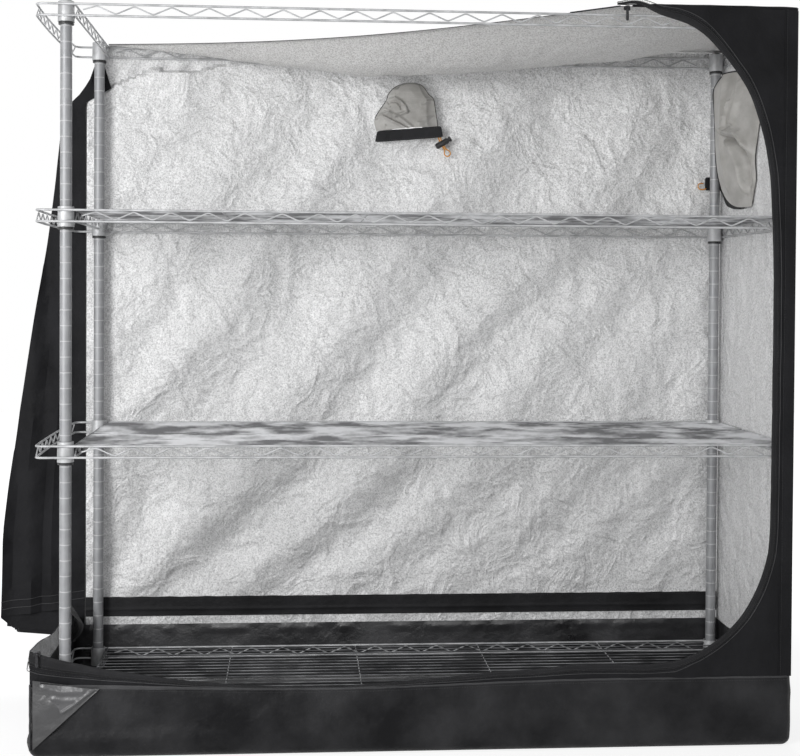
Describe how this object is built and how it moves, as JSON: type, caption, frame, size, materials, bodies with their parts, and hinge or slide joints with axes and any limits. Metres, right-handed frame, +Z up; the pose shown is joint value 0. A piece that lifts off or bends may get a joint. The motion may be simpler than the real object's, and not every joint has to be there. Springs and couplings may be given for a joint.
{
  "type": "indoor grow tent",
  "caption": "Wire shelving rack in a zipped, foil-lined grow tent cover with a waterproof pan, hanging roof flap, gathered door, vent sleeves and levelling feet.",
  "frame": {"origin": "on the floor, midway between the four posts, on the pan floor's underside", "axes": "+X along the shelves to the tent's right as seen from its open front, +Y towards the rear wall, +Z up"},
  "size_m": [1.3889, 0.4643, 1.2362],
  "materials": {
    "coated_steel": "satin grey coating on steel tube and wire",
    "black_plastic": "matte black",
    "black_metal": "black lacquered die casting",
    "black_cloth": "black woven polyester",
    "black_coated_cloth": "black coated waterproof cloth, glossy inside",
    "zip_tape": "black zip tape",
    "foil_cloth": "silver reflective lining, black outside",
    "grey_cloth": "light grey coated cloth",
    "orange_cord": "orange round cord"
  },
  "bodies": {
    "tent": {"post_front_left": "coated_steel", "post_front_right": "coated_steel", "post_rear_left": "coated_steel", "post_rear_right": "coated_steel", "cap_front_left": "black_plastic", "cap_front_right": "black_plastic", "cap_rear_left": "black_plastic", "cap_rear_right": "black_plastic", "bottom_shelf_sleeve_front_left": "black_plastic", "bottom_shelf_sleeve_front_right": "black_plastic", "bottom_shelf_sleeve_rear_left": "black_plastic", "bottom_shelf_sleeve_rear_right": "black_plastic", "middle_shelf_sleeve_front_left": "black_plastic", "middle_shelf_sleeve_front_right": "black_plastic", "middle_shelf_sleeve_rear_left": "black_plastic", "middle_shelf_sleeve_rear_right": "black_plastic", "upper_shelf_sleeve_front_left": "black_plastic", "upper_shelf_sleeve_front_right": "black_plastic", "upper_shelf_sleeve_rear_left": "black_plastic", "upper_shelf_sleeve_rear_right": "black_plastic", "top_sleeve_front_left": "black_plastic", "top_sleeve_front_right": "black_plastic", "top_sleeve_rear_left": "black_plastic", "top_sleeve_rear_right": "black_plastic", "top_frame": "coated_steel", "pan_floor": "black_coated_cloth", "pan_front": "black_coated_cloth", "pan_rear": "black_coated_cloth", "pan_left": "black_coated_cloth", "pan_right": "black_coated_cloth", "front_panel": "black_cloth", "zip_tape_front": "zip_tape", "wall_rear": "foil_cloth", "wall_right": "foil_cloth", "roof": "foil_cloth", "rear_band": "black_cloth", "top_piping": "black_cloth", "rear_sleeve": "grey_cloth", "rear_sleeve_casing": "black_cloth", "rear_drawcord": "orange_cord", "side_sleeve": "grey_cloth", "side_sleeve_casing": "black_cloth", "side_drawcord": "orange_cord"},
    "bottom_shelf": {"bottom_shelf_frame": "coated_steel", "bottom_shelf_deck": "coated_steel"},
    "middle_shelf": {"middle_shelf_frame": "coated_steel", "middle_shelf_deck": "coated_steel"},
    "upper_shelf": {"upper_shelf_frame": "coated_steel", "upper_shelf_deck": "coated_steel"},
    "foot_1": {"foot_front_left": "black_plastic"},
    "foot_2": {"foot_front_right": "black_plastic"},
    "foot_3": {"foot_rear_left": "black_plastic"},
    "foot_4": {"foot_rear_right": "black_plastic"},
    "door": {"door_panel": "black_cloth"},
    "low_slider": {"low_zip_slider": "black_metal"},
    "low_pull": {"low_zip_pull": "black_metal"},
    "top_slider": {"top_zip_slider": "black_metal"},
    "top_pull": {"top_zip_pull": "black_metal"},
    "lock": {"cord_lock": "black_plastic"},
    "plunger": {"cord_lock_plunger": "black_plastic"}
  },
  "joints": [
    {"name": "bottom_shelf_lift", "type": "slide", "parent": "tent", "child": "bottom_shelf", "axis": [0, 0, 1], "range_m": [0, 0.018]},
    {"name": "middle_shelf_lift", "type": "slide", "parent": "tent", "child": "middle_shelf", "axis": [0, 0, 1], "range_m": [0, 0.018]},
    {"name": "upper_shelf_lift", "type": "slide", "parent": "tent", "child": "upper_shelf", "axis": [0, 0, 1], "range_m": [0, 0.018]},
    {"name": "foot_front_left_turn", "type": "hinge", "parent": "tent", "child": "foot_1", "pos_m": [-0.5925, -0.185, 0.0015], "axis": [0, 0, 1], "range_deg": [-720, 720]},
    {"name": "foot_front_right_turn", "type": "hinge", "parent": "tent", "child": "foot_2", "pos_m": [0.5925, -0.185, 0.0015], "axis": [0, 0, 1], "range_deg": [-720, 720]},
    {"name": "foot_rear_left_turn", "type": "hinge", "parent": "tent", "child": "foot_3", "pos_m": [-0.5925, 0.185, 0.0015], "axis": [0, 0, 1], "range_deg": [-720, 720]},
    {"name": "foot_rear_right_turn", "type": "hinge", "parent": "tent", "child": "foot_4", "pos_m": [0.5925, 0.185, 0.0015], "axis": [0, 0, 1], "range_deg": [-720, 720]},
    {"name": "door_swing", "type": "hinge", "parent": "tent", "child": "door", "pos_m": [-0.608, 0.2097, 0.12], "axis": [0, 0, 1], "range_deg": [-60, 0]},
    {"name": "low_zip_run", "type": "slide", "parent": "tent", "child": "low_slider", "axis": [0.96, 0, -0.28], "range_m": [0, 0.034]},
    {"name": "low_pull_swing", "type": "hinge", "parent": "low_slider", "child": "low_pull", "pos_m": [-0.6331, -0.2113, 0.17251], "axis": [1, 0, 0], "range_deg": [-150, 0]},
    {"name": "top_zip_run", "type": "slide", "parent": "tent", "child": "top_slider", "axis": [0.9835, 0, -0.1809], "range_m": [0, 0.04]},
    {"name": "top_pull_swing", "type": "hinge", "parent": "top_slider", "child": "top_pull", "pos_m": [0.31963, -0.2113, 1.22723], "axis": [1, 0, 0], "range_deg": [-150, 0]},
    {"name": "cord_lock_slide", "type": "slide", "parent": "tent", "child": "lock", "axis": [0.5, 0, -0.866], "range_m": [-0.0015, 0.005]},
    {"name": "cord_lock_press", "type": "slide", "parent": "lock", "child": "plunger", "axis": [-0.866, 0, -0.5], "range_m": [0, 0.0025], "stiffness_N_per_m": 150, "springref_m": -0.002}
  ]
}
